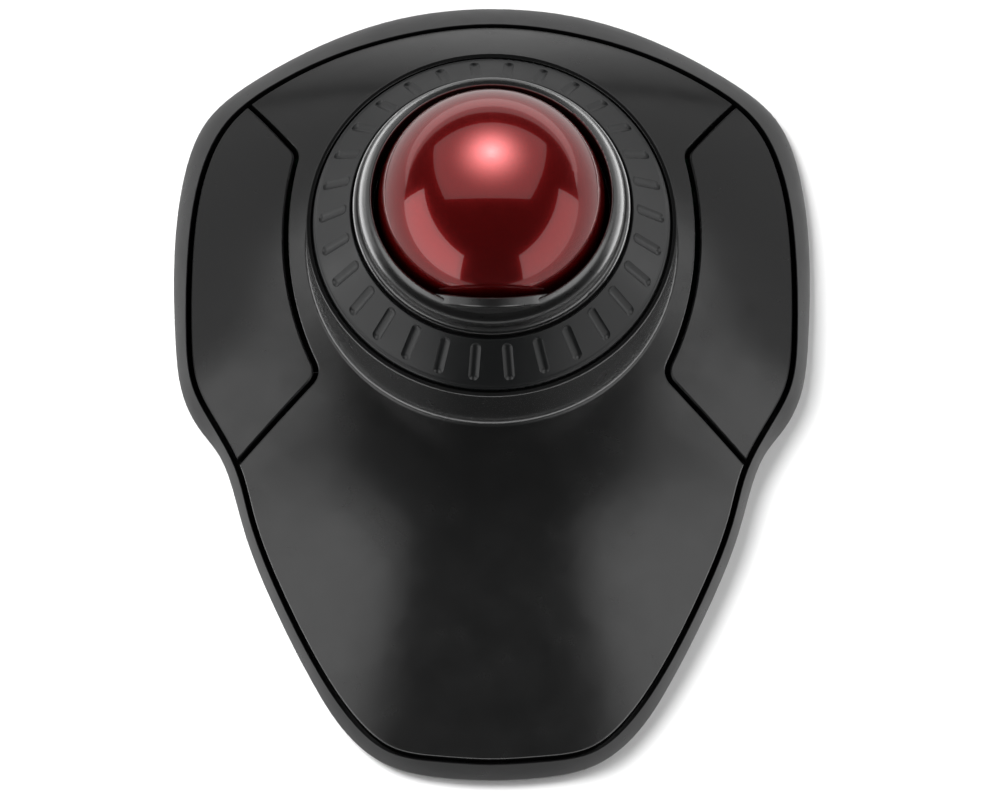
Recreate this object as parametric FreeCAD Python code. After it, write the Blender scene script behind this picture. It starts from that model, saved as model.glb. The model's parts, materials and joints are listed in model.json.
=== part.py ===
import FreeCAD, Part
import math
import os
from bisect import bisect_right

# Wireless trackball with a scroll ring. Millimetres, +Z up, the palm towards -Y.
# The origin is on the surface it stands on, under the middle of its box.

# ---------------------------------------------------------------- driving dimensions
BALL_RADIUS = 20.0
BALL_HEIGHT = 38.0            # centre of the ball above the surface
RING_Y = 20.5                 # the ball and the ring share this vertical axis
FOOT_HEIGHT = 0.8
FLOOR_TOP = 2.8
WIDEST_HEIGHT = 3.5           # the lower shell is widest here
COVER_THICKNESS = 2.2
SEAM_GAP = 0.9                # between the lower shell and what it surrounds
BUTTON_GAP = 0.8              # between a button and the cover

DRUM_RADIUS = 33.0
DRUM_TOP = 29.2
DRUM_BORE = 31.0
DRUM_MOUTH_RADIUS = 32.1
DRUM_MOUTH_FLOOR = 27.8
DRUM_ROOT_RADIUS = 0.9
CROWN_AT_DRUM_FRONT = 15.3    # height of the cover where it meets the drum
CROWN_AT_DRUM_BACK = 27.4
CROWN_TURN = 1.85             # how late the cover climbs towards the back
PALM_SWELL = 3.4
PALM_SWELL_Y = -37.0
PALM_SWELL_REACH = 21.0
SEAM_HEIGHT_MIDDLE = 10.6     # the seam rises gently towards the back
SEAM_RISE = 0.0288

RING_BORE = 24.75
RING_RUNNING_CLEARANCE = 0.05
RING_FACE_FOOT = (31.0, 30.2)     # radius and height where the ring's sloping face ends
RING_FACE_TOP = (25.1, 36.1)
GROOVE_COUNT = 30
GROOVE_WIDTH = 1.9
GROOVE_DEPTH = 0.36
GROOVE_LENGTH = 7.2
CUP_GAP = 1.0
CUP_WALL = 1.9
CUP_FLANGE_TOP = 23.5
CUP_FLANGE_RADIUS = 30.4

BUTTON_ARC = 56.0             # inner edge of the right button, an arc about this point
BUTTON_ARC_X = -18.9
BUTTON_ARC_Y = 23.0
HINGE_Y = -6.0
HINGE_Z = 6.6
PIN_RADIUS = 1.0
SWITCH_X = 44.0
SWITCH_Y = 30.0
PLUNGER_TOP = 12.1

CELL_RADIUS = 5.25
CELL_LENGTH = 44.5
CELL_Y = (-12.0, -23.2)
CELL_Z = 7.5

BOARD_BOTTOM = 3.6
BOARD_THICKNESS = 1.6
BOARD_TOP = BOARD_BOTTOM + BOARD_THICKNESS
SENSOR_BOARD_BOTTOM = 8.0

CASE_SCREWS = ((20.0, -56.0), (-20.0, -56.0), (34.0, 47.5), (-34.0, 47.5))
CUP_POST_ANGLES = (90, 210, 330)
CUP_POST_RADIUS = 28.6
FEET = ((15.0, -62.0), (-15.0, -62.0), (47.0, 8.0), (-47.0, 8.0), (27.0, 58.0), (-27.0, 58.0))

# Half of the plan, from the back round to the palm: the widest outline and, beside each of its
# points, the seam between the lower shell and the cover.
PLAN = (
    ((0.0, 74.6), (0.0, 66.6)),
    ((18.0, 72.4), (16.5, 64.5)),
    ((32.4, 66.9), (29.0, 60.4)),
    ((44.0, 60.0), (39.8, 54.7)),
    ((52.9, 51.8), (48.3, 47.4)),
    ((57.0, 40.3), (52.9, 37.0)),
    ((58.4, 24.0), (54.8, 21.5)),
    ((57.7, 7.2), (54.7, 6.0)),
    ((55.6, -4.3), (53.1, -4.2)),
    ((52.9, -9.3), (50.7, -9.0)),
    ((49.7, -13.6), (48.0, -13.6)),
    ((47.0, -19.7), (45.1, -19.6)),
    ((44.6, -28.1), (42.8, -27.8)),
    ((38.9, -42.6), (37.3, -42.2)),
    ((31.7, -56.9), (30.1, -56.3)),
    ((24.8, -67.0), (23.8, -65.4)),
    ((18.5, -71.8), (17.8, -70.4)),
    ((9.0, -74.2), (9.0, -72.2)),
    ((0.0, -74.7), (0.0, -72.7)),
)


# ---------------------------------------------------------------- helpers
def vec(x, y, z=0.0):
    return FreeCAD.Vector(x, y, z)


def box(x0, x1, y0, y1, z0, z1):
    return Part.makeBox(x1 - x0, y1 - y0, z1 - z0, vec(x0, y0, z0))


def rod(radius, z0, z1, x=0.0, y=0.0):
    return Part.makeCylinder(radius, z1 - z0, vec(x, y, z0))


def tube(inner, outer, z0, z1, x=0.0, y=RING_Y):
    return rod(outer, z0, z1, x, y).cut(rod(inner, z0 - 1, z1 + 1, x, y))


def rod_along_x(radius, x0, x1, y, z):
    return Part.makeCylinder(radius, x1 - x0, vec(x0, y, z), vec(1, 0, 0))


def polygon_prism(points, z0, z1):
    corners = [vec(x, y, z0) for x, y in points]
    face = Part.Face(Part.makePolygon(corners + corners[:1]))
    return face.extrude(vec(0, 0, z1 - z0))


def turned(stretches):
    """Solid of revolution about the ring axis.

    Each stretch is a run of (radius, height) points, and starts where the last one ended. Two
    points make a line, and three make an arc. The last stretch ends where the first one starts.
    """
    edges = []
    for stretch in stretches:
        points = [vec(r, RING_Y, z) for r, z in stretch]
        if len(points) == 2:
            edges.append(Part.makeLine(points[0], points[1]))
        else:
            edges.append(Part.Arc(points[0], points[1], points[2]).toShape())
    return Part.Face(Part.Wire(edges)).revolve(vec(0, RING_Y, 0), vec(0, 0, 1), 360)


def lines(points):
    """Straight stretches from each point to the next."""
    return [(points[i], points[i + 1]) for i in range(len(points) - 1)]


def mirrored(shape):
    return shape.mirror(vec(0, 0, 0), vec(1, 0, 0))


def fused(shapes):
    return shapes[0].multiFuse(shapes[1:]).removeSplitter()


def at_ring_angle(radius, degrees):
    angle = math.radians(degrees)
    return radius * math.cos(angle), RING_Y + radius * math.sin(angle)


def edges_where(shape, test):
    return [edge for edge in shape.Edges if test(edge.BoundBox, edge)]


def export(name, shape):
    if len(shape.Solids) == 1:
        shape = shape.Solids[0]
    shape.exportStep(os.path.join("parts", name + ".step"))
    print(name, "solids", len(shape.Solids), "valid", shape.isValid(), "mm3", round(shape.Volume, 1))


# ---------------------------------------------------------------- plan curves
def full_loop(half):
    """Right half of a loop, given back to front, with its mirror image."""
    return half + [(-x, y) for x, y in reversed(half[1:-1])]


OUTER = full_loop([pair[0] for pair in PLAN])
SEAM = full_loop([pair[1] for pair in PLAN])


def loop_curve(points, z=0.0):
    """Closed curve that starts and ends at the middle of the back, square to the mirror plane."""
    corners = [vec(x, y, z) for x, y in points]
    corners.append(corners[0])
    across = vec(1, 0, 0)
    curve = Part.BSplineCurve()
    curve.interpolate(Points=corners, InitialTangent=across, FinalTangent=across, Scale=False)
    return curve


def loop_wire(points, z=0.0):
    return Part.Wire(loop_curve(points, z).toShape())


def shifted(points, distance):
    """The loop moved outwards, or inwards where the distance is negative."""
    curve = loop_curve(points)
    moved = []
    for x, y in points:
        along = curve.tangent(curve.parameter(vec(x, y)))[0]
        moved.append((x - along.y * distance, y + along.x * distance))
    return moved


def loop_prism(points, z0, z1):
    return Part.Face(loop_wire(points, z0)).extrude(vec(0, 0, z1 - z0))


def seam_height(y):
    return SEAM_HEIGHT_MIDDLE + SEAM_RISE * y


def seam_polar():
    """Angle and radius of the seam about the ring axis, in rising angle."""
    rows = []
    for point in loop_wire(SEAM).Edges[0].discretize(Number=721)[:-1]:
        dx = point.x
        dy = point.y - RING_Y
        rows.append((math.atan2(dy, dx), math.hypot(dx, dy)))
    rows.sort()
    rows.insert(0, (rows[-1][0] - 2 * math.pi, rows[-1][1]))
    rows.append((rows[1][0] + 2 * math.pi, rows[1][1]))
    return [row[0] for row in rows], [row[1] for row in rows]


SEAM_ANGLES, SEAM_RADII = seam_polar()


def seam_radius(angle):
    upper = bisect_right(SEAM_ANGLES, angle)
    a0, a1 = SEAM_ANGLES[upper - 1], SEAM_ANGLES[upper]
    r0, r1 = SEAM_RADII[upper - 1], SEAM_RADII[upper]
    return r0 + (r1 - r0) * (angle - a0) / (a1 - a0)


# ---------------------------------------------------------------- crown of the body
def crown(x, y):
    """Height of the outer surface: it falls from the drum to the seam all round."""
    dx = x
    dy = y - RING_Y
    radius = max(math.hypot(dx, dy), 24.0)
    angle = math.atan2(dy, dx)
    reach = seam_radius(angle)
    t = radius / reach
    t_drum = DRUM_RADIUS / reach
    edge = seam_height(RING_Y + reach * math.sin(angle))
    climb = ((1 + math.sin(angle)) / 2) ** CROWN_TURN
    at_drum = CROWN_AT_DRUM_FRONT + (CROWN_AT_DRUM_BACK - CROWN_AT_DRUM_FRONT) * climb
    limit = min(t, 1.15)
    fall = 1 - limit ** 2 - 2 * limit * (t - limit)
    swell = PALM_SWELL * math.exp(-((y - PALM_SWELL_Y) / PALM_SWELL_REACH) ** 2)
    return edge + (at_drum - edge) * fall / (1 - t_drum ** 2) + swell * fall


def crown_face():
    columns = 33
    rows = 41
    grid = []
    for i in range(columns):
        x = -64.0 + 128.0 * i / (columns - 1)
        line = []
        for j in range(rows):
            y = -80.0 + 160.0 * j / (rows - 1)
            line.append(vec(x, y, crown(x, y)))
        grid.append(line)
    surface = Part.BSplineSurface()
    surface.interpolate(grid)
    return surface.toShape()


CROWN = crown_face()


def crown_layer(top_drop, bottom_drop):
    """Solid between two copies of the crown, each lowered by so much."""
    face = CROWN.translated(vec(0, 0, -top_drop))
    return face.extrude(vec(0, 0, top_drop - bottom_drop))


# ---------------------------------------------------------------- lower shell
def wall_section(z):
    """Outline of the lower shell's outside at one height."""
    seam_edge = shifted(SEAM, SEAM_GAP / 2 + 0.15)
    points = []
    for outer, inner in zip(OUTER, seam_edge):
        share = (z - WIDEST_HEIGHT) / (seam_height(inner[1]) - WIDEST_HEIGHT)
        share = math.copysign(abs(share) ** 1.25, share)
        x = outer[0] + (inner[0] - outer[0]) * share
        y = outer[1] + (inner[1] - outer[1]) * share
        points.append((x, y))
    return points


def body_envelope():
    """The whole outside of the lower shell, carried on above the seam."""
    rounded_foot = ((FOOT_HEIGHT, -1.6), (1.7, -0.5))
    foot = [loop_wire(shifted(OUTER, inset), z) for z, inset in rounded_foot]
    widest = loop_wire(OUTER, WIDEST_HEIGHT)
    heights = [WIDEST_HEIGHT + 2.6 * step for step in range(1, 5)]
    wall = [loop_wire(wall_section(z), z) for z in heights]
    return Part.makeLoft(foot + [widest], True, False).fuse(Part.makeLoft([widest] + wall, True, False))


def below_seam():
    """Everything lower than the sloping plane that the seam lies in."""
    corners = [(-90.0, 0.0), (90.0, 0.0), (90.0, seam_height(90.0)), (-90.0, seam_height(-90.0))]
    outline = [vec(-90.0, y, z) for y, z in corners]
    return Part.Face(Part.makePolygon(outline + outline[:1])).extrude(vec(180.0, 0, 0))


def hinge_posts():
    """Two posts that hold the right button's hinge pin."""
    posts = []
    for x in (37.2, 45.0):
        post = box(x, x + 1.8, HINGE_Y - 2.6, HINGE_Y + 2.6, FLOOR_TOP - 0.5, HINGE_Z + 1.9)
        posts.append(post)
    return fused(posts).cut(rod_along_x(PIN_RADIUS, 36, 48, HINGE_Y, HINGE_Z))


def case_posts():
    posts = [rod(3.0, FLOOR_TOP - 0.5, 5.9, x, y) for x, y in CASE_SCREWS]
    for degrees in CUP_POST_ANGLES:
        x, y = at_ring_angle(CUP_POST_RADIUS, degrees)
        posts.append(rod(2.2, FLOOR_TOP - 0.5, CUP_FLANGE_TOP - 1.5, x, y))
    return posts


def board_posts():
    return [rod(2.2, FLOOR_TOP - 0.5, BOARD_BOTTOM, x, y) for x in (-38.0, 38.0) for y in (14.5, 40.0)]


def battery_bay_walls():
    outer = box(-26.6, 26.6, -30.6, -4.9, FLOOR_TOP - 0.5, 9.0)
    return outer.cut(box(-25.1, 25.1, -29.1, -6.4, 0, 12))


def receiver_bay():
    outer = box(-11.4, 11.4, -53.4, -35.6, FLOOR_TOP - 0.5, 9.2)
    return outer.cut(box(-10.2, 10.2, -52.2, -36.8, 0, 8.0))


def base_shell():
    body = body_envelope().common(below_seam())
    above_ledge = loop_prism(shifted(SEAM, SEAM_GAP / 2), 0, 60).cut(crown_layer(4.6, 60.0))
    hollow = loop_prism(shifted(SEAM, -SEAM_GAP / 2 - 1.2), FLOOR_TOP, 60)
    shell = body.cut(above_ledge).cut(hollow)
    right_posts = hinge_posts()
    inside = case_posts() + board_posts() + [right_posts, mirrored(right_posts)]
    shell = fused([shell] + inside + [battery_bay_walls(), receiver_bay()])
    cuts = [
        box(-25.1, 25.1, -29.1, -6.4, 0, FLOOR_TOP + 0.5),
        box(-26.0, 26.0, -30.45, -5.05, 0, 2.1),
        box(-10.2, 10.2, -52.2, -36.8, 0, 8.0),
        rod(5.0, 0, 1.9, 0, -36.0),
        box(-37.6, -30.4, 1.8, 5.2, 0, FLOOR_TOP + 0.5),
        rod(2.3, 0, FLOOR_TOP + 0.5, 34.0, 3.5),
        box(-18.2, 18.2, 31.8, 46.2, 0, FOOT_HEIGHT + 0.2),
    ]
    for x, y in CASE_SCREWS:
        cuts.append(rod(1.2, 0, 10, x, y))
        cuts.append(rod(2.4, 0, 3.4, x, y))
    for degrees in CUP_POST_ANGLES:
        x, y = at_ring_angle(CUP_POST_RADIUS, degrees)
        cuts.append(rod(0.8, 14.0, 30.0, x, y))
    for x in (-38.0, 38.0):
        for y in (14.5, 40.0):
            cuts.append(rod(0.8, FLOOR_TOP - 0.4, 6.0, x, y))
    return shell.cut(Part.makeCompound(cuts))


# ---------------------------------------------------------------- cover and buttons
def button_zone(inset):
    """Plan of the right button's inner edges, as a prism that runs past the seam."""
    upper = ((34.9, 37.6), (43.9, 49.8))
    lower = ((31.6, -3.7), (45.6, -18.4))
    corners = []
    for (x0, y0), (x1, y1), side in (upper + (1,), lower + (-1,)):
        along = vec(x1 - x0, y1 - y0).normalize()
        nx, ny = along.y * side, -along.x * side
        start = (x0 - along.x * 14 + nx * inset, y0 - along.y * 14 + ny * inset)
        end = (x1 + along.x * 22 + nx * inset, y1 + along.y * 22 + ny * inset)
        corners.append((start, end))
    (upper_start, upper_end), (lower_start, lower_end) = corners
    outline = [upper_start, upper_end, (90.0, upper_end[1]), (90.0, lower_end[1]), lower_end, lower_start]
    zone = polygon_prism(outline, 0, 60).cut(rod(BUTTON_ARC + inset, -1, 61, BUTTON_ARC_X, BUTTON_ARC_Y))
    corner_edges = edges_where(
        zone, lambda bound, edge: bound.ZLength > 59 and bound.XMax < 37 and bound.XLength < 0.01)
    return zone.makeFillet(3.2 - inset / 2, corner_edges)


def top_edges(shape):
    """Edges that lie on the crown."""
    found = []
    for edge in shape.Edges:
        middle = edge.valueAt((edge.FirstParameter + edge.LastParameter) / 2)
        if abs(middle.z - crown(middle.x, middle.y)) < 0.06:
            found.append(edge)
    return found


def drum_root(cover):
    """Edges where the outside of the drum meets the crown."""
    found = []
    for edge in cover.Edges:
        middle = edge.valueAt((edge.FirstParameter + edge.LastParameter) / 2)
        from_axis = math.hypot(middle.x, middle.y - RING_Y)
        if abs(from_axis - DRUM_RADIUS) < 0.02 and abs(middle.z - crown(middle.x, middle.y)) < 0.3:
            found.append(edge)
    return found


def cover_bosses():
    bosses = []
    for x, y in CASE_SCREWS:
        boss = rod(2.7, 6.0, 30, x, y).common(crown_layer(1.2, 60.0))
        bosses.append(boss.cut(rod(1.1, 5, 8.2, x, y)))
    return bosses


def top_cover():
    zone = button_zone(-BUTTON_GAP / 2)
    inside_seam = loop_prism(shifted(SEAM, -SEAM_GAP / 2), 0, 60)
    plate = crown_layer(0.0, COVER_THICKNESS).common(inside_seam)
    plate = plate.cut(zone).cut(mirrored(zone)).cut(rod(DRUM_BORE + 1, 0, 60, 0, RING_Y))
    plate = plate.makeFillet(0.3, top_edges(plate))
    drum = tube(DRUM_BORE, DRUM_RADIUS, 13.2, DRUM_TOP)
    drum = drum.cut(rod(DRUM_MOUTH_RADIUS, DRUM_MOUTH_FLOOR, 60, 0, RING_Y))
    rim = edges_where(drum, lambda bound, edge: bound.ZMin > DRUM_TOP - 0.01)
    drum = drum.makeFillet(0.25, rim)
    cover = fused([plate, drum])
    cover = cover.makeFillet(DRUM_ROOT_RADIUS, drum_root(cover))
    return fused([cover] + cover_bosses())


def plain_button():
    """The right button without its hinge and its pusher."""
    zone = button_zone(BUTTON_GAP / 2)
    inside_seam = loop_prism(shifted(SEAM, -SEAM_GAP / 2), 0, 60)
    plate = crown_layer(0.0, COVER_THICKNESS).common(inside_seam).common(zone)
    return plate.makeFillet(0.35, top_edges(plate))


def right_button():
    barrel = rod_along_x(2.0, 39.4, 44.6, HINGE_Y, HINGE_Z)
    web = box(39.4, 44.6, HINGE_Y - 1.4, HINGE_Y + 1.4, HINGE_Z, 20)
    web = web.common(crown_layer(1.2, 60.0))
    hinge = barrel.fuse(web).cut(rod_along_x(PIN_RADIUS + 0.06, 39, 45, HINGE_Y, HINGE_Z))
    pusher = box(SWITCH_X - 1.6, SWITCH_X + 1.6, SWITCH_Y - 1.6, SWITCH_Y + 1.6, PLUNGER_TOP + 0.1, 30)
    pusher = pusher.common(crown_layer(1.2, 60.0))
    return fused([plain_button(), hinge, pusher])


# ---------------------------------------------------------------- ball, ring and their housing
def ball():
    return Part.makeSphere(BALL_RADIUS, vec(0, RING_Y, BALL_HEIGHT))


def ring_blank():
    under = [(RING_BORE, 35.95), (RING_BORE, 24.05), (26.6, 24.05), (26.6, 28.6), (31.3, 28.6)]
    stretches = lines(under) + [
        ((31.3, 28.6), (31.62, 28.78), (31.75, 29.2)),
        ((31.75, 29.2), (31.64, 29.66), (31.3, 29.95)),
        ((31.3, 29.95), RING_FACE_FOOT),
        (RING_FACE_FOOT, RING_FACE_TOP),
        (RING_FACE_TOP, (24.9, 36.15), (RING_BORE, 35.95)),
    ]
    return turned(stretches)


def ring_groove():
    """Round-ended scoop that lies in the ring's sloping face, at the palm side."""
    foot_radius, foot_height = RING_FACE_FOOT
    top_radius, top_height = RING_FACE_TOP
    slope = math.atan2(top_height - foot_height, foot_radius - top_radius)
    depth_of_axis = (GROOVE_WIDTH ** 2 / 4 - GROOVE_DEPTH ** 2) / (2 * GROOVE_DEPTH)
    scoop_radius = depth_of_axis + GROOVE_DEPTH
    reach = GROOVE_LENGTH / 2 - GROOVE_WIDTH / 2
    scoop = Part.makeCylinder(scoop_radius, 2 * reach, vec(0, -reach, 0), vec(0, 1, 0))
    scoop = scoop.fuse([Part.makeSphere(scoop_radius, vec(0, end, 0)) for end in (-reach, reach)])
    scoop.rotate(vec(0, 0, 0), vec(1, 0, 0), math.degrees(slope))
    middle_radius = (foot_radius + top_radius) / 2 + depth_of_axis * math.sin(slope)
    middle_height = (foot_height + top_height) / 2 + depth_of_axis * math.cos(slope)
    return scoop.translate(vec(0, RING_Y - middle_radius, middle_height))


def scroll_ring():
    first = ring_groove()
    cutters = []
    for index in range(GROOVE_COUNT):
        turn = 360.0 * (index + 0.5) / GROOVE_COUNT
        cutters.append(first.copy().rotate(vec(0, RING_Y, 0), vec(0, 0, 1), turn))
    return ring_blank().cut(Part.makeCompound(cutters))


def encoder_ring():
    skirt = tube(28.4, 29.0, 25.3, 28.6)
    slots = []
    for index in range(GROOVE_COUNT):
        slot = box(28.0, 29.4, RING_Y - 1.1, RING_Y + 1.1, 25.0, 27.4)
        slots.append(slot.rotate(vec(0, RING_Y, 0), vec(0, 0, 1), 360.0 * index / GROOVE_COUNT))
    return skirt.cut(Part.makeCompound(slots))


def encoder_sensor():
    body = box(27.3, 30.3, RING_Y - 2.2, RING_Y + 2.2, CUP_FLANGE_TOP, 27.4)
    body = body.cut(box(28.0, 29.5, RING_Y - 3, RING_Y + 3, 24.6, 30))
    return body.rotate(vec(0, RING_Y, 0), vec(0, 0, 1), 150)


def bezel():
    """Fixed collar round the ball: a rounded band, a fine step and a low hump on its palm side."""
    stretches = lines([(24.4, 37.0), (24.4, 35.05), (20.9, 35.05), (20.9, 41.35)]) + [
        ((20.9, 41.35), (21.03, 41.68), (21.35, 41.8)),
        ((21.35, 41.8), (22.85, 40.75), (23.4, 38.6)),
        ((23.4, 38.6), (23.4, 37.9)),
        ((23.4, 37.9), (23.75, 37.85)),
        ((23.75, 37.85), (24.22, 37.6), (24.4, 37.0)),
    ]
    hump = Part.makeCylinder(14.0, 6.0, vec(0, RING_Y - 24.0, 30.4), vec(0, 1, 0))
    hump = hump.common(tube(20.2, 22.2, 40.4, 45.0))
    top = edges_where(hump, lambda bound, edge: bound.ZMax > 44.0 and bound.XLength > 5)
    return turned(stretches).fuse(hump.makeFillet(0.35, top)).removeSplitter()


def ball_cup():
    centre = vec(0, RING_Y, BALL_HEIGHT)
    inner = BALL_RADIUS + CUP_GAP
    hub = RING_BORE - RING_RUNNING_CLEARANCE
    bowl = Part.makeSphere(inner + CUP_WALL, centre).common(rod(40, 0, 35.0, 0, RING_Y))
    flange = rod(CUP_FLANGE_RADIUS, CUP_FLANGE_TOP - 1.5, CUP_FLANGE_TOP, 0, RING_Y)
    web = rod(hub, 33.6, 35.0, 0, RING_Y)
    cup = fused([bowl, flange, web, tube(hub - 1.3, hub, CUP_FLANGE_TOP - 1, 35.0)])
    cup = cup.cut(Part.makeSphere(inner, centre)).cut(rod(3.6, 0, 20, 0, RING_Y))
    for degrees in CUP_POST_ANGLES:
        x, y = at_ring_angle(CUP_POST_RADIUS, degrees)
        cup = cup.cut(rod(0.95, 20, 30, x, y))
    for bearing in bearing_centres():
        cup = cup.cut(Part.makeSphere(1.52, bearing))
    return cup


def bearing_centres():
    distance = BALL_RADIUS + 1.53
    below = math.radians(38)
    centres = []
    for degrees in (30, 150, 270):
        x, y = at_ring_angle(distance * math.cos(below), degrees)
        centres.append(vec(x, y, BALL_HEIGHT - distance * math.sin(below)))
    return centres


def bearing_balls():
    return Part.makeCompound([Part.makeSphere(1.5, centre) for centre in bearing_centres()])


def glide_washer():
    return tube(RING_BORE + 0.1, 27.0, CUP_FLANGE_TOP, 24.0)


# ---------------------------------------------------------------- electronics
def sensor_board():
    top = SENSOR_BOARD_BOTTOM + BOARD_THICKNESS
    board = box(-15, 15, RING_Y - 9, RING_Y + 11, SENSOR_BOARD_BOTTOM, top)
    for x in (-12.0, 12.0):
        board = board.cut(rod(1.2, 0, 20, x, RING_Y))
    return board


def board_spacers():
    spacers = []
    for x in (-12.0, 12.0):
        spacers.append(tube(1.2, 2.4, BOARD_TOP, SENSOR_BOARD_BOTTOM, x, RING_Y))
    return Part.makeCompound(spacers)


def sensor_chip():
    bottom = SENSOR_BOARD_BOTTOM + BOARD_THICKNESS
    return box(-5, 5, RING_Y - 6, RING_Y + 6, bottom, bottom + 2.0)


def sensor_lens():
    bottom = SENSOR_BOARD_BOTTOM + BOARD_THICKNESS + 2.0
    plate = box(-6, 6, RING_Y - 7, RING_Y + 7, bottom, bottom + 1.2)
    return plate.fuse(rod(3.4, bottom, bottom + 3.2, 0, RING_Y)).removeSplitter()


def ribbon_cable():
    """Flat cable from the back of the sensor board down to the main board."""
    top = SENSOR_BOARD_BOTTOM + BOARD_THICKNESS
    path = ((28.0, top + 0.3), (35.5, top + 0.3), (38.0, BOARD_TOP + 0.3), (42.0, BOARD_TOP + 0.3),
            (42.0, BOARD_TOP), (37.8, BOARD_TOP), (35.3, top), (28.0, top))
    corners = [vec(-5, y, z) for y, z in path]
    return Part.Face(Part.makePolygon(corners + corners[:1])).extrude(vec(10, 0, 0))


def main_board():
    board = box(-47, 47, 10.8, 43.2, BOARD_BOTTOM, BOARD_TOP)
    for x in (-38.0, 38.0):
        for y in (14.5, 40.0):
            board = board.cut(rod(1.0, 0, 20, x, y))
    return board


def radio_chip():
    return box(-26, -20, 32, 38, BOARD_TOP, BOARD_TOP + 1.0)


def board_components():
    solids = [box(22, 30, 33, 37, BOARD_TOP, BOARD_TOP + 2.2)]
    for index in range(6):
        x = -34.0 + 2.6 * index
        solids.append(box(x, x + 1.0, 26, 28, BOARD_TOP, BOARD_TOP + 0.9))
    for index in range(3):
        solids.append(rod(2.0, BOARD_TOP, BOARD_TOP + 4.6, 20 + 5.2 * index, 26.0))
    return Part.makeCompound(solids)


def right_switch():
    body = box(SWITCH_X - 2.9, SWITCH_X + 2.9, SWITCH_Y - 6.4, SWITCH_Y + 6.4, BOARD_TOP, 11.4)
    pocket = box(SWITCH_X - 1.1, SWITCH_X + 1.1, SWITCH_Y - 1.5, SWITCH_Y + 1.5, 9.8, 12)
    return body.cut(pocket)


def right_plunger():
    return box(SWITCH_X - 0.9, SWITCH_X + 0.9, SWITCH_Y - 1.3, SWITCH_Y + 1.3, 10.7, PLUNGER_TOP)


def slide_switch():
    body = box(-38.5, -29.5, 1.8, 10.8, FLOOR_TOP + 0.3, 6.6)
    return body.cut(box(-36.4, -31.6, 2.4, 4.6, 0, 5.0))


def power_slider():
    knob = box(-37.2, -33.2, 2.1, 4.9, 0.75, FLOOR_TOP + 0.2)
    ridges = [box(x, x + 0.4, 1.9, 5.1, 0.0, 1.15) for x in (-36.3, -35.4, -34.5)]
    stem = box(-36.1, -34.3, 2.8, 4.2, 2.0, 4.4)
    return fused([knob, stem]).cut(Part.makeCompound(ridges))


def tact_switch():
    body = box(31.0, 37.0, 0.5, 10.8, 5.2, 8.0)
    return body.fuse(rod(1.5, 4.6, 5.2, 34.0, 3.5)).removeSplitter()


def connect_button():
    head = rod(2.0, 0.85, 4.1, 34.0, 3.5)
    flange = rod(2.9, FLOOR_TOP + 0.25, 3.7, 34.0, 3.5)
    rounded = edges_where(head, lambda bound, edge: bound.ZMax < 0.86)
    return head.makeFillet(0.3, rounded).fuse(flange).removeSplitter()


# ---------------------------------------------------------------- power and receiver
def cell(y, direction):
    """AAA cell that lies along X, with its button end towards +X or -X."""
    half = CELL_LENGTH / 2
    can = rod_along_x(CELL_RADIUS, -half, half - 0.8, y, CELL_Z)
    can = can.makeFillet(0.4, can.Edges)
    cell_shape = can.fuse(rod_along_x(1.9, half - 1.5, half, y, CELL_Z))
    return cell_shape if direction > 0 else mirrored(cell_shape)


def contact_plates():
    plates = []
    for y, direction in zip(CELL_Y, (1, -1)):
        near = direction * (CELL_LENGTH / 2 + 0.25)
        far = -direction * (CELL_LENGTH / 2 + 2.45)
        for x in (near, far):
            plates.append(box(x - 0.2, x + 0.2, y - 4.4, y + 4.4, 3.2, 11.2))
    return Part.makeCompound(plates)


def battery_springs():
    """Conical spring at the flat end of each cell."""
    springs = []
    for y, direction in zip(CELL_Y, (1, -1)):
        helix = Part.makeHelix(0.62, 1.8, 3.4, -12)
        section = Part.Wire(Part.makeCircle(0.22, vec(3.4, 0, 0), vec(0, 1, 0)))
        coil = Part.Wire(helix).makePipeShell([section], True, True)
        coil.rotate(vec(0, 0, 0), vec(0, 1, 0), 90)
        coil.translate(vec(-CELL_LENGTH / 2 - 2.02, y, CELL_Z))
        if direction < 0:
            coil.rotate(vec(0, y, 0), vec(0, 0, 1), 180)
        springs.append(coil)
    return Part.makeCompound(springs)


def battery_door():
    """Flush cover that swings down about its palm-side edge."""
    plate = box(-25.7, 25.7, -29.6, -5.35, FOOT_HEIGHT, 2.0)
    edge = rod_along_x(0.6, -25.7, 25.7, -29.6, FOOT_HEIGHT + 0.6)
    thumb = [box(-6.0, 6.0, y, y + 0.6, 0.0, FOOT_HEIGHT + 0.35) for y in (-9.0, -10.4, -11.8)]
    return plate.fuse(edge).removeSplitter().cut(Part.makeCompound(thumb))


def receiver_cap():
    cap = box(3.3, 9.9, -51.9, -37.1, 1.2, 7.4)
    return cap.makeFillet(0.7, cap.Edges)


def receiver_plug():
    shell = box(-9.9, 3.3, -50.5, -38.5, 2.05, 6.55)
    return shell.cut(box(-11, 2.0, -50.1, -38.9, 2.45, 4.2)).cut(box(-11, 2.0, -50.1, -38.9, 5.9, 6.15))


# ---------------------------------------------------------------- fasteners, pins and feet
def screw(head_radius, head_height, shank_radius, length):
    """Pan-head screw, head up, with its head's underside at the origin."""
    head = rod(head_radius, 0, head_height)
    rim = edges_where(head, lambda bound, edge: bound.ZMin > head_height - 0.01)
    head = head.makeFillet(head_height * 0.45, rim)
    shape = head.fuse(rod(shank_radius, -length, 0)).removeSplitter()
    for turn in (0, 90):
        slot = box(-head_radius * 0.62, head_radius * 0.62, -0.2, 0.2, head_height * 0.45, head_height + 1)
        shape = shape.cut(slot.rotate(vec(0, 0, 0), vec(0, 0, 1), turn))
    return shape


def case_screws():
    group = []
    for x, y in CASE_SCREWS:
        piece = screw(2.1, 1.4, 1.1, 4.6)
        piece.rotate(vec(0, 0, 0), vec(1, 0, 0), 180)
        group.append(piece.translate(vec(x, y, 3.4)))
    return Part.makeCompound(group)


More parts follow.
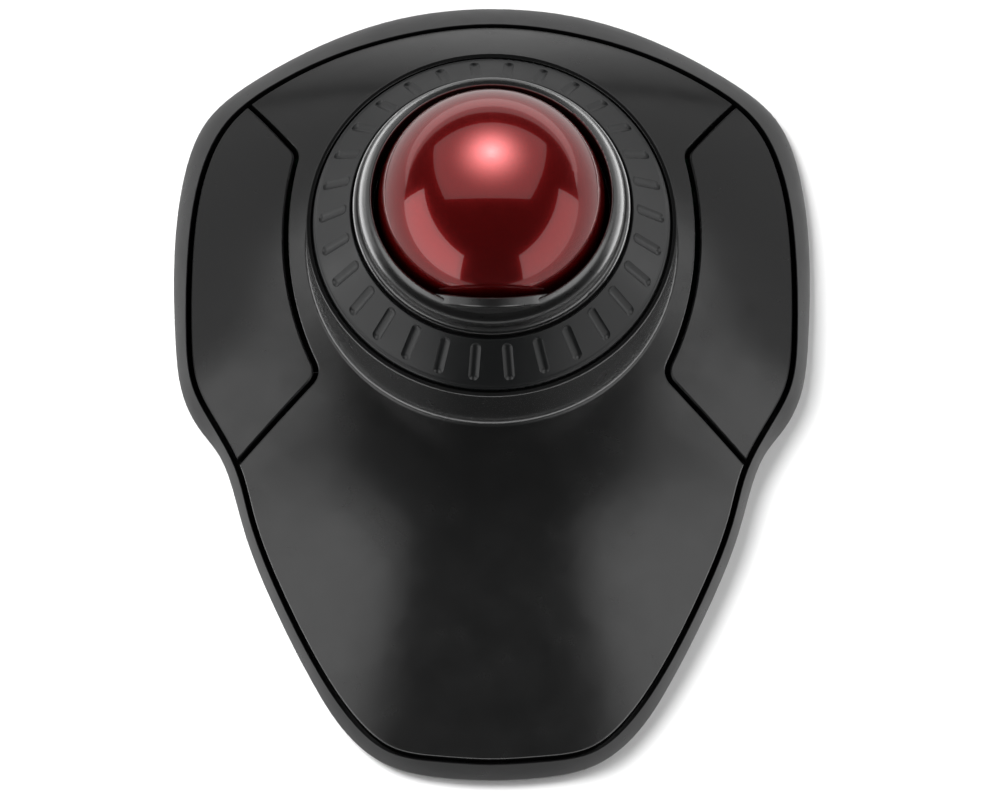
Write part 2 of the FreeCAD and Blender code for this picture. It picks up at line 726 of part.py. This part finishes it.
def cup_screws():
    group = []
    for degrees in CUP_POST_ANGLES:
        x, y = at_ring_angle(CUP_POST_RADIUS, degrees)
        group.append(screw(1.45, 1.0, 0.8, 6.5).translate(vec(x, y, CUP_FLANGE_TOP)))
    return Part.makeCompound(group)


def board_screws():
    group = []
    for x in (-38.0, 38.0):
        for y in (14.5, 40.0):
            group.append(screw(1.8, 1.1, 0.8, 2.6).translate(vec(x, y, BOARD_TOP)))
    return Part.makeCompound(group)


def hinge_pins():
    pin = rod_along_x(PIN_RADIUS, 37.2, 46.8, HINGE_Y, HINGE_Z)
    return Part.makeCompound([pin, mirrored(pin)])


def rubber_feet():
    pads = []
    for x, y in FEET:
        pad = rod(4.8, 0, FOOT_HEIGHT, x, y)
        rounded = edges_where(pad, lambda bound, edge: bound.ZMax < 0.01)
        pads.append(pad.makeFillet(0.3, rounded))
    return Part.makeCompound(pads)


def rating_plate():
    plate = box(-18, 18, 32, 46, FOOT_HEIGHT + 0.05, FOOT_HEIGHT + 0.2)
    corners = edges_where(plate, lambda bound, edge: bound.ZLength > 0.1)
    return plate.makeFillet(1.0, corners)


# ---------------------------------------------------------------- the assembly
def main():
    os.makedirs("parts", exist_ok=True)
    export("base_shell", base_shell())
    export("top_cover", top_cover())
    button = right_button()
    export("right_button", button)
    export("left_button", mirrored(button))
    export("ball", ball())
    export("scroll_ring", scroll_ring())
    export("encoder_ring", encoder_ring())
    export("encoder_sensor", encoder_sensor())
    export("bezel", bezel())
    export("ball_cup", ball_cup())
    export("bearing_balls", bearing_balls())
    export("glide_washer", glide_washer())
    export("sensor_board", sensor_board())
    export("board_spacers", board_spacers())
    export("sensor_chip", sensor_chip())
    export("sensor_lens", sensor_lens())
    export("ribbon_cable", ribbon_cable())
    export("main_board", main_board())
    export("radio_chip", radio_chip())
    export("board_components", board_components())
    export("right_switch", right_switch())
    export("left_switch", mirrored(right_switch()))
    export("right_plunger", right_plunger())
    export("left_plunger", mirrored(right_plunger()))
    export("slide_switch", slide_switch())
    export("power_slider", power_slider())
    export("tact_switch", tact_switch())
    export("connect_button", connect_button())
    export("aaa_cell_rear", cell(CELL_Y[0], 1))
    export("aaa_cell_front", cell(CELL_Y[1], -1))
    export("contact_plates", contact_plates())
    export("battery_springs", battery_springs())
    export("battery_door", battery_door())
    export("receiver_cap", receiver_cap())
    export("receiver_plug", receiver_plug())
    export("case_screws", case_screws())
    export("cup_screws", cup_screws())
    export("board_screws", board_screws())
    export("hinge_pins", hinge_pins())
    export("rubber_feet", rubber_feet())
    export("rating_plate", rating_plate())


main()
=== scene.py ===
import json
import math

import bmesh
import bpy
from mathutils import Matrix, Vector

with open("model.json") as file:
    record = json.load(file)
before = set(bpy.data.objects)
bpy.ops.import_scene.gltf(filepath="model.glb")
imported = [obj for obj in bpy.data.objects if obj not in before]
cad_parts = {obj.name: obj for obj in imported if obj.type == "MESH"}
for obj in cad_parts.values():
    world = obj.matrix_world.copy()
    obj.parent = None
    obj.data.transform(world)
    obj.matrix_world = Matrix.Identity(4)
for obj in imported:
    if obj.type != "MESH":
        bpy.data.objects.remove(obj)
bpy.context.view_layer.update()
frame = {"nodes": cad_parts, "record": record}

# Metres, in the row frame: +Z up, the palm towards -Y.
NODES = frame["nodes"]
SLOT_OF_NODE = {row["node"]: row["material_slot"] for row in frame["record"]["subparts"]}

MM = 0.001

# The camera looks from the palm side, high up. Its lens and sensor are in millimetres.
VIEW_ELEVATION = math.radians(70)
VIEW_DISTANCE = 0.70
LOOK_AT = Vector((0.00149, -0.01198, 0.02618))
LENS = 143.64
SENSOR_WIDTH = 36.0

# The studio. Points with a positive x belong to the right side and are mirrored for the left.
# Strengths of lights and cards are radiances.
SIDES = (-1, 1)
WORLD_STRENGTH = 0.03
FLOOR_HALF_SIZE = 2.5

BODY_PANEL_PLACE = (0.42, -0.135, 0.60)
BODY_PANEL_AIM = (0.42, -0.135, 0)
BODY_PANEL_SIZE = (0.46, 0.53)
BODY_PANEL_RADIANCE = 2.1

DIM_PANEL_PLACE = (0.60, 0.55, 0.45)
DIM_PANEL_AIM = (0.10, 0.03, 0.02)
DIM_PANEL_SIZE = (0.8, 0.8)
DIM_PANEL_RADIANCE = 0.68

FLOOR_KEY_PLACE = (-0.34, 0.09, 0.9)
FLOOR_KEY_SIZE = (0.35, 0.35)
FLOOR_KEY_RADIANCE = 23.0

# The bright table top behind the device, and the strips that stand on its front edge.
TABLE_NEAR = (0.05, -0.095)
TABLE_FAR = (0.41, 0.048)
TABLE_SIDE = (2, 0.60)
TABLE_BACK = (2, 2.5)
TABLE_RADIANCE = 0.5
STRIP_NEAR_HEIGHT = 0.065
STRIP_FAR_HEIGHT = 0.20
LEFT_STRIP_RADIANCE = 1.5
RIGHT_STRIP_RADIANCE = 1.0

# Low glows, each seen by few pieces: one lies flat just above the floor for the collar, one stands
# beside the dial for the ring and the collar, and a band stands round the front for the cover.
COLLAR_GLOW_X = (0.07, 0.6)
COLLAR_GLOW_Y = (-0.01, 0.6)
COLLAR_GLOW_HEIGHT = 0.002
COLLAR_GLOW_RADIANCE = 2.8
DIAL_GLOW_X = 0.45
DIAL_GLOW_Y = (-0.03, 0.45)
DIAL_GLOW_HEIGHT = 0.24
DIAL_GLOW_RADIANCE = 1.2
FOOT_BAND_PLAN = ((-0.6, 0.1), (-0.4, -0.5), (0.4, -0.5), (0.6, 0.1))
FOOT_BAND_HEIGHT = 0.26
FOOT_BAND_RADIANCE = 4.5

# The light box over the ball leans back. Its outline is (across, along the lean) from its middle.
BALL_CENTRE = Vector((0, 0.0205, 0.038))
BOX_LEAN = math.radians(24.5)
BOX_DISTANCE = 0.4
BOX_OUTLINE = ((-0.58, -0.37), (0.44, -0.37), (0.48, 0.33), (-0.52, 0.33))
BOX_RADIANCE = 0.62
HOT_SPOT_SHIFT = 0.03
HOT_SPOT_REACH = 0.44
HOT_SPOT_EXTRA = 9.5
HOT_SPOT_POWER = 4.0

# The pale wall behind rises evenly from its front edge.
WALL_FRONT = 0.2
WALL_SLOPE = 0.2625
WALL_RIGHT = ((0.9, WALL_FRONT), (0.8, 0.5), (0.5, 0.733))
WALL_TOP = (0, 1)
WALL_RADIANCE = 0.48


# ---------------------------------------------------------------- node helpers
class Material:
    """A principled material with short calls for its procedural detail."""

    def __init__(self, name):
        self.material = bpy.data.materials.new(name)
        self.material.use_nodes = True
        self.tree = self.material.node_tree
        self.shader = self.tree.nodes["Principled BSDF"]
        self.place = self.add("ShaderNodeTexCoord").outputs["Object"]
        self.normal = None

    def add(self, kind, **inputs):
        node = self.tree.nodes.new(kind)
        for name, value in inputs.items():
            node.inputs[name.replace("_", " ")].default_value = value
        return node

    def link(self, source, target):
        self.tree.links.new(source, target)

    def set(self, name, value):
        self.shader.inputs[name].default_value = value

    def stretched(self, scale):
        mapping = self.add("ShaderNodeMapping")
        mapping.inputs["Scale"].default_value = scale
        self.link(self.place, mapping.inputs["Vector"])
        return mapping.outputs["Vector"]

    def noise(self, size, detail=3.0, roughness=0.55, stretch=None):
        """Noise with features about size metres across."""
        node = self.add("ShaderNodeTexNoise", Scale=1.0 / size, Detail=detail, Roughness=roughness)
        self.link(self.stretched(stretch) if stretch else self.place, node.inputs["Vector"])
        return node.outputs["Fac"]

    def cells(self, size):
        node = self.add("ShaderNodeTexVoronoi", Scale=1.0 / size)
        self.link(self.place, node.inputs["Vector"])
        return node.outputs["Distance"]

    def spread(self, source, low, high, start=0.3, end=0.7):
        """The source's start..end turned into low..high."""
        node = self.add("ShaderNodeMapRange")
        node.inputs["From Min"].default_value = start
        node.inputs["From Max"].default_value = end
        node.inputs["To Min"].default_value = low
        node.inputs["To Max"].default_value = high
        self.link(source, node.inputs["Value"])
        return node.outputs["Result"]

    def mixed(self, factor, first, second):
        node = self.tree.nodes.new("ShaderNodeMix")
        node.data_type = "RGBA"
        self.link(factor, node.inputs[0])
        for socket, colour in ((node.inputs[6], first), (node.inputs[7], second)):
            if isinstance(colour, tuple):
                socket.default_value = (*colour, 1.0)
            else:
                self.link(colour, socket)
        return node.outputs[2]

    def bump(self, height, distance, strength=1.0):
        """Adds one layer of relief; layers stack."""
        node = self.add("ShaderNodeBump", Strength=strength, Distance=distance)
        self.link(height, node.inputs["Height"])
        if self.normal is not None:
            self.link(self.normal, node.inputs["Normal"])
        self.normal = node.outputs["Normal"]
        self.link(self.normal, self.shader.inputs["Normal"])


def moulded(name, colour, roughness, grain=0.22 * MM, depth=0.006 * MM, variation=0.12, specular=0.5):
    """Moulded plastic: a spark-eroded grain, faint mottling and uneven gloss."""
    m = Material(name)
    lighter = tuple(channel * (1 + variation) for channel in colour)
    darker = tuple(channel * (1 - variation) for channel in colour)
    mottling = m.noise(9 * MM)
    m.link(m.mixed(mottling, darker, lighter), m.shader.inputs["Base Color"])
    patches = m.noise(6 * MM, detail=4.0)
    m.link(m.spread(patches, roughness - 0.03, roughness + 0.03), m.shader.inputs["Roughness"])
    m.set("Specular IOR Level", specular)
    m.bump(m.noise(grain, detail=2.0), depth)
    return m


def gloss(name, colour, roughness, coat=0.0):
    """Polished plastic or ceramic with a slight moulding ripple and rubbing marks in its gloss."""
    m = Material(name)
    darker = tuple(channel * 0.85 for channel in colour)
    m.link(m.mixed(m.noise(4 * MM), darker, colour), m.shader.inputs["Base Color"])
    rubbing = m.noise(1.2 * MM, detail=4.0, stretch=(1, 1, 4))
    m.link(m.spread(rubbing, roughness * 0.8, roughness * 1.25), m.shader.inputs["Roughness"])
    m.set("Coat Weight", coat)
    m.set("Coat Roughness", 0.05)
    ripple = m.noise(2.5 * MM)
    m.bump(ripple, 0.003 * MM)
    return m


def metal(name, colour, roughness, stretch):
    """Plated sheet or wire with drawing lines and darker patches."""
    m = Material(name)
    darker = tuple(channel * 0.7 for channel in colour)
    m.link(m.mixed(m.noise(2 * MM), darker, colour), m.shader.inputs["Base Color"])
    m.set("Metallic", 1.0)
    lines = m.noise(0.5 * MM, stretch=stretch)
    m.link(m.spread(lines, roughness - 0.08, roughness + 0.1), m.shader.inputs["Roughness"])
    m.bump(lines, 0.004 * MM)
    return m


# ---------------------------------------------------------------- the materials
def cover_plastic():
    colour = (0.0062, 0.0063, 0.0063)
    return moulded("cover_plastic", colour, 0.25, grain=0.24 * MM, depth=0.002 * MM).material


def button_plastic():
    colour = (0.0062, 0.0063, 0.0065)
    return moulded("button_plastic", colour, 0.25, grain=0.24 * MM, depth=0.002 * MM).material


def shell_plastic():
    colour = (0.008, 0.0082, 0.0088)
    return moulded("shell_plastic", colour, 0.30, grain=0.3 * MM, depth=0.006 * MM).material


def ring_plastic():
    colour = (0.008, 0.0086, 0.009)
    return moulded("ring_plastic", colour, 0.34, grain=0.2 * MM, depth=0.003 * MM).material


def bezel_gloss():
    """The collar's satin gloss under a hard coat."""
    m = gloss("bezel_gloss", (0.006, 0.006, 0.006), 0.32, coat=1.0)
    m.set("Coat IOR", 1.7)
    m.set("Coat Roughness", 0.27)
    return m.material


def ball_resin():
    """Deep red resin: a red glint under a clear polished skin, with fine mica and faint wear."""
    m = Material("ball_resin")
    mica = m.spread(m.noise(0.25 * MM, detail=2.0), 0.0, 1.0, start=0.35, end=0.65)
    m.link(m.mixed(mica, (0.24, 0.0025, 0.0035), (0.29, 0.004, 0.005)), m.shader.inputs["Base Color"])
    m.set("Metallic", 0.75)
    m.link(m.spread(m.noise(3 * MM), 0.20, 0.25), m.shader.inputs["Roughness"])
    m.set("Coat Weight", 1.0)
    m.set("Coat IOR", 1.58)
    m.set("Coat Roughness", 0.015)
    wear = m.noise(0.3 * MM, detail=2.0)
    m.bump(wear, 0.001 * MM)
    return m.material


def inner_plastic():
    return moulded("inner_plastic", (0.02, 0.02, 0.022), 0.5, depth=0.008 * MM).material


def plunger_plastic():
    return moulded("plunger_plastic", (0.11, 0.115, 0.125), 0.38, depth=0.005 * MM).material


def switch_plastic():
    return moulded("switch_plastic", (0.02, 0.02, 0.022), 0.42).material


def washer_plastic():
    return moulded("washer_plastic", (0.75, 0.75, 0.72), 0.35, variation=0.05).material


def receiver_plastic():
    return moulded("receiver_plastic", (0.015, 0.015, 0.016), 0.4).material


def plate_plastic():
    return moulded("plate_plastic", (0.09, 0.09, 0.095), 0.35, grain=0.5 * MM, variation=0.06).material


def chip_resin():
    return moulded("chip_resin", (0.018, 0.018, 0.019), 0.55, grain=0.12 * MM).material


def ribbon_white():
    return moulded("ribbon_white", (0.6, 0.6, 0.57), 0.4, variation=0.05).material


def foot_rubber():
    colour = (0.02, 0.02, 0.021)
    rubber = moulded("foot_rubber", colour, 0.78, grain=0.16 * MM, depth=0.012 * MM, specular=0.3)
    return rubber.material


def bearing_ceramic():
    return gloss("bearing_ceramic", (0.8, 0.79, 0.74), 0.12, coat=0.5).material


def nickel_steel():
    return metal("nickel_steel", (0.62, 0.58, 0.52), 0.28, (1, 1, 8)).material


def screw_steel():
    return metal("screw_steel", (0.36, 0.36, 0.37), 0.32, (1, 1, 5)).material


def board_laminate():
    """Solder mask over copper: lighter where the copper runs below it."""
    m = Material("board_laminate")
    tracks = m.spread(m.cells(2.2 * MM), 0.0, 1.0, start=0.25, end=0.32)
    m.link(m.mixed(tracks, (0.012, 0.09, 0.04), (0.02, 0.15, 0.07)), m.shader.inputs["Base Color"])
    m.link(m.spread(m.noise(1.5 * MM), 0.22, 0.34), m.shader.inputs["Roughness"])
    m.bump(tracks, 0.01 * MM)
    return m.material


def lens_clear():
    m = Material("lens_clear")
    m.link(m.mixed(m.noise(2 * MM), (0.86, 0.9, 0.92), (0.93, 0.95, 0.96)), m.shader.inputs["Base Color"])
    m.set("Transmission Weight", 0.9)
    m.set("IOR", 1.49)
    m.link(m.spread(m.noise(1 * MM), 0.04, 0.1), m.shader.inputs["Roughness"])
    m.bump(m.noise(0.6 * MM), 0.001 * MM)
    return m.material


def cell_sleeve():
    """Printed film over a steel can, with a lighter band and the seam's faint ripple."""
    m = Material("cell_sleeve")
    split = m.add("ShaderNodeSeparateXYZ")
    m.link(m.place, split.inputs["Vector"])
    band = m.spread(split.outputs["X"], 0.0, 1.0, start=8.5 * MM, end=8.6 * MM)
    mottled = m.mixed(m.noise(3 * MM), (0.035, 0.038, 0.045), (0.045, 0.048, 0.056))
    m.link(m.mixed(band, mottled, (0.45, 0.33, 0.16)), m.shader.inputs["Base Color"])
    m.set("Metallic", 0.6)
    m.link(m.spread(m.noise(1.5 * MM), 0.2, 0.32), m.shader.inputs["Roughness"])
    m.bump(m.noise(1.2 * MM, stretch=(0.2, 1, 1)), 0.01 * MM)
    return m.material


MAKERS = (
    cover_plastic, button_plastic, shell_plastic, ring_plastic, bezel_gloss, ball_resin, inner_plastic,
    plunger_plastic, switch_plastic, washer_plastic, receiver_plastic, plate_plastic, chip_resin,
    ribbon_white, foot_rubber, bearing_ceramic, nickel_steel, screw_steel, board_laminate, lens_clear,
    cell_sleeve,
)
MATERIALS = {maker.__name__: maker() for maker in MAKERS}

for node_name, node_object in NODES.items():
    node_object.data.materials.clear()
    node_object.data.materials.append(MATERIALS[SLOT_OF_NODE[node_name]])


# ---------------------------------------------------------------- floor, lights and camera
def link_piece(name, data):
    piece = bpy.data.objects.new(name, data)
    bpy.context.scene.collection.objects.link(piece)
    return piece


def floor():
    mesh = bpy.data.meshes.new("floor")
    builder = bmesh.new()
    bmesh.ops.create_grid(builder, x_segments=1, y_segments=1, size=FLOOR_HALF_SIZE)
    builder.to_mesh(mesh)
    builder.free()
    piece = link_piece("floor", mesh)
    m = Material("floor_paper")
    m.link(m.mixed(m.noise(0.2), (0.9, 0.9, 0.9), (0.92, 0.92, 0.92)), m.shader.inputs["Base Color"])
    m.set("Roughness", 0.9)
    m.set("Specular IOR Level", 0.1)
    mesh.materials.append(m.material)
    piece.visible_glossy = False
    return piece


def mirrored(point, side):
    """The point, or its mirror image when side is -1."""
    return (side * point[0], *point[1:])


def soft_light(name, place, aim, size, radiance):
    light = bpy.data.lights.new(name, "AREA")
    light.shape = "RECTANGLE"
    light.size, light.size_y = size
    light.energy = radiance * math.pi * size[0] * size[1]
    piece = link_piece(name, light)
    piece.location = place
    piece.rotation_euler = (Vector(aim) - Vector(place)).to_track_quat("-Z", "Y").to_euler()
    piece.visible_camera = False
    return piece


def lights_only(light, receivers, state="INCLUDE"):
    """The light falls on these objects alone, or with "EXCLUDE" on all but these."""
    group = bpy.data.collections.new(light.name + "_receivers")
    for receiver in receivers:
        group.objects.link(receiver)
    for row in group.collection_objects:
        row.light_linking.link_state = state
    light.light_linking.receiver_collection = group


def peaked_strength(tree, radiance, place, reach, extra):
    """The radiance, with extra added at the place and fading out over reach."""
    where = tree.nodes.new("ShaderNodeTexCoord")
    distance = tree.nodes.new("ShaderNodeVectorMath")
    distance.operation = "DISTANCE"
    distance.inputs[1].default_value = place
    tree.links.new(where.outputs["Object"], distance.inputs[0])
    near = tree.nodes.new("ShaderNodeMapRange")
    near.inputs["From Max"].default_value = reach
    near.inputs["To Min"].default_value = 1.0
    near.inputs["To Max"].default_value = 0.0
    tree.links.new(distance.outputs["Value"], near.inputs["Value"])
    peaked = tree.nodes.new("ShaderNodeMath")
    peaked.operation = "POWER"
    peaked.inputs[1].default_value = HOT_SPOT_POWER
    tree.links.new(near.outputs["Result"], peaked.inputs[0])
    strength = tree.nodes.new("ShaderNodeMath")
    strength.operation = "MULTIPLY_ADD"
    strength.inputs[1].default_value = extra
    strength.inputs[2].default_value = radiance
    tree.links.new(peaked.outputs["Value"], strength.inputs[0])
    return strength.outputs["Value"]


def glow_material(name, radiance, hot_spot=None):
    """See-through glow; hot_spot is (place, reach, extra radiance)."""
    material = bpy.data.materials.new(name)
    material.use_nodes = True
    tree = material.node_tree
    tree.nodes.clear()
    output = tree.nodes.new("ShaderNodeOutputMaterial")
    both = tree.nodes.new("ShaderNodeAddShader")
    emission = tree.nodes.new("ShaderNodeEmission")
    emission.inputs["Strength"].default_value = radiance
    clear = tree.nodes.new("ShaderNodeBsdfTransparent")
    tree.links.new(emission.outputs[0], both.inputs[0])
    tree.links.new(clear.outputs[0], both.inputs[1])
    tree.links.new(both.outputs[0], output.inputs["Surface"])
    if hot_spot:
        tree.links.new(peaked_strength(tree, radiance, *hot_spot), emission.inputs["Strength"])
    return material


def card(name, corners, material):
    """Flat glowing card that only reflections and the light it gives can show."""
    mesh = bpy.data.meshes.new(name)
    mesh.from_pydata(corners, [], [tuple(range(len(corners)))])
    mesh.materials.append(material)
    piece = link_piece(name, mesh)
    piece.visible_camera = False
    piece.visible_shadow = False
    piece.visible_transmission = False
    return piece


def world_glow():
    world = bpy.data.worlds.new("studio")
    world.use_nodes = True
    background = world.node_tree.nodes["Background"]
    background.inputs["Color"].default_value = (1, 1, 1, 1)
    background.inputs["Strength"].default_value = WORLD_STRENGTH
    bpy.context.scene.world = world
    bpy.context.scene.view_settings.view_transform = "Standard"


def panels(floor_piece):
    """Soft panels for all but the ball, and the floor's own key that draws the shadow."""
    for side in SIDES:
        bright_place = mirrored(BODY_PANEL_PLACE, side)
        bright_aim = mirrored(BODY_PANEL_AIM, side)
        bright = soft_light("body_panel", bright_place, bright_aim, BODY_PANEL_SIZE, BODY_PANEL_RADIANCE)
        dim_place = mirrored(DIM_PANEL_PLACE, side)
        dim_aim = mirrored(DIM_PANEL_AIM, side)
        dim = soft_light("dim_panel", dim_place, dim_aim, DIM_PANEL_SIZE, DIM_PANEL_RADIANCE)
        for panel in (bright, dim):
            lights_only(panel, [NODES["ball"]], "EXCLUDE")
    key = soft_light("floor_key", FLOOR_KEY_PLACE, (0, 0, 0), FLOOR_KEY_SIZE, FLOOR_KEY_RADIANCE)
    lights_only(key, [floor_piece])


def table_and_strips():
    right_edge = [TABLE_NEAR, TABLE_FAR, TABLE_SIDE, TABLE_BACK]
    left_edge = [mirrored(point, -1) for point in reversed(right_edge)]
    top = [(x, y, 0.0) for x, y in left_edge + right_edge]
    table = card("table_glow", top, glow_material("table_glow", TABLE_RADIANCE))
    table.visible_diffuse = False
    for side, radiance in zip(SIDES, (LEFT_STRIP_RADIANCE, RIGHT_STRIP_RADIANCE)):
        far = mirrored(TABLE_FAR, side)
        near = mirrored(TABLE_NEAR, side)
        corners = [(*far, 0.0), (*near, 0.0), (*near, STRIP_NEAR_HEIGHT), (*far, STRIP_FAR_HEIGHT)]
        strip = card("side_strip", corners, glow_material("side_strip_glow", radiance))
        lights_only(strip, [NODES["bezel"]], "EXCLUDE")


def collar_and_dial_glows():
    """On each side, a flat glow for the collar and an upright one for the ring and the collar."""
    (x0, x1), (y0, y1) = COLLAR_GLOW_X, COLLAR_GLOW_Y
    flat = [(x, y, COLLAR_GLOW_HEIGHT) for x, y in ((x0, y0), (x1, y0), (x1, y1), (x0, y1))]
    front, back = DIAL_GLOW_Y
    profile = ((front, 0.0), (back, 0.0), (back, DIAL_GLOW_HEIGHT), (front, DIAL_GLOW_HEIGHT))
    upright = [(DIAL_GLOW_X, y, z) for y, z in profile]
    for side in SIDES:
        collar_corners = [mirrored(point, side) for point in flat]
        collar = card("collar_glow", collar_corners, glow_material("collar_glow", COLLAR_GLOW_RADIANCE))
        lights_only(collar, [NODES["bezel"]])
        dial_corners = [mirrored(point, side) for point in upright]
        dial = card("dial_glow", dial_corners, glow_material("dial_glow", DIAL_GLOW_RADIANCE))
        lights_only(dial, [NODES["scroll_ring"], NODES["bezel"]])


def foot_band():
    """An upright band round the front, which only the cover shows, most of all at the drum's foot."""
    for (x0, y0), (x1, y1) in zip(FOOT_BAND_PLAN, FOOT_BAND_PLAN[1:]):
        corners = [(x0, y0, 0.0), (x1, y1, 0.0), (x1, y1, FOOT_BAND_HEIGHT), (x0, y0, FOOT_BAND_HEIGHT)]
        band = card("foot_glow", corners, glow_material("foot_glow", FOOT_BAND_RADIANCE))
        lights_only(band, [NODES["top_cover"]])


def ball_lights():
    """The ball's own lights: a wide box overhead with a hot middle, and the pale wall behind."""
    out = Vector((0, math.sin(BOX_LEAN), math.cos(BOX_LEAN)))
    back = Vector((0, math.cos(BOX_LEAN), -math.sin(BOX_LEAN)))
    middle = BALL_CENTRE + out * BOX_DISTANCE
    corners = [middle + Vector((across, 0, 0)) + back * along for across, along in BOX_OUTLINE]
    hot_spot = (middle + back * HOT_SPOT_SHIFT, HOT_SPOT_REACH, HOT_SPOT_EXTRA)
    top_box = card("top_box", corners, glow_material("top_box_glow", BOX_RADIANCE, hot_spot))
    left_edge = [mirrored(point, -1) for point in WALL_RIGHT]
    plan = [*left_edge, WALL_TOP, *reversed(WALL_RIGHT)]
    rising = [(x, y, (y - WALL_FRONT) * WALL_SLOPE) for x, y in plan]
    wall = card("back_wall", rising, glow_material("back_wall_glow", WALL_RADIANCE))
    for piece in (top_box, wall):
        lights_only(piece, [NODES["ball"]])


def studio():
    world_glow()
    panels(floor())
    table_and_strips()
    collar_and_dial_glows()
    foot_band()
    ball_lights()


def camera():
    data = bpy.data.cameras.new("camera")
    data.lens = LENS
    data.sensor_width = SENSOR_WIDTH
    piece = link_piece("camera", data)
    back = Vector((0, -math.cos(VIEW_ELEVATION), math.sin(VIEW_ELEVATION)))
    piece.location = LOOK_AT + back * VIEW_DISTANCE
    piece.rotation_euler = (math.pi / 2 - VIEW_ELEVATION, 0, 0)
    bpy.context.scene.camera = piece


studio()
camera()
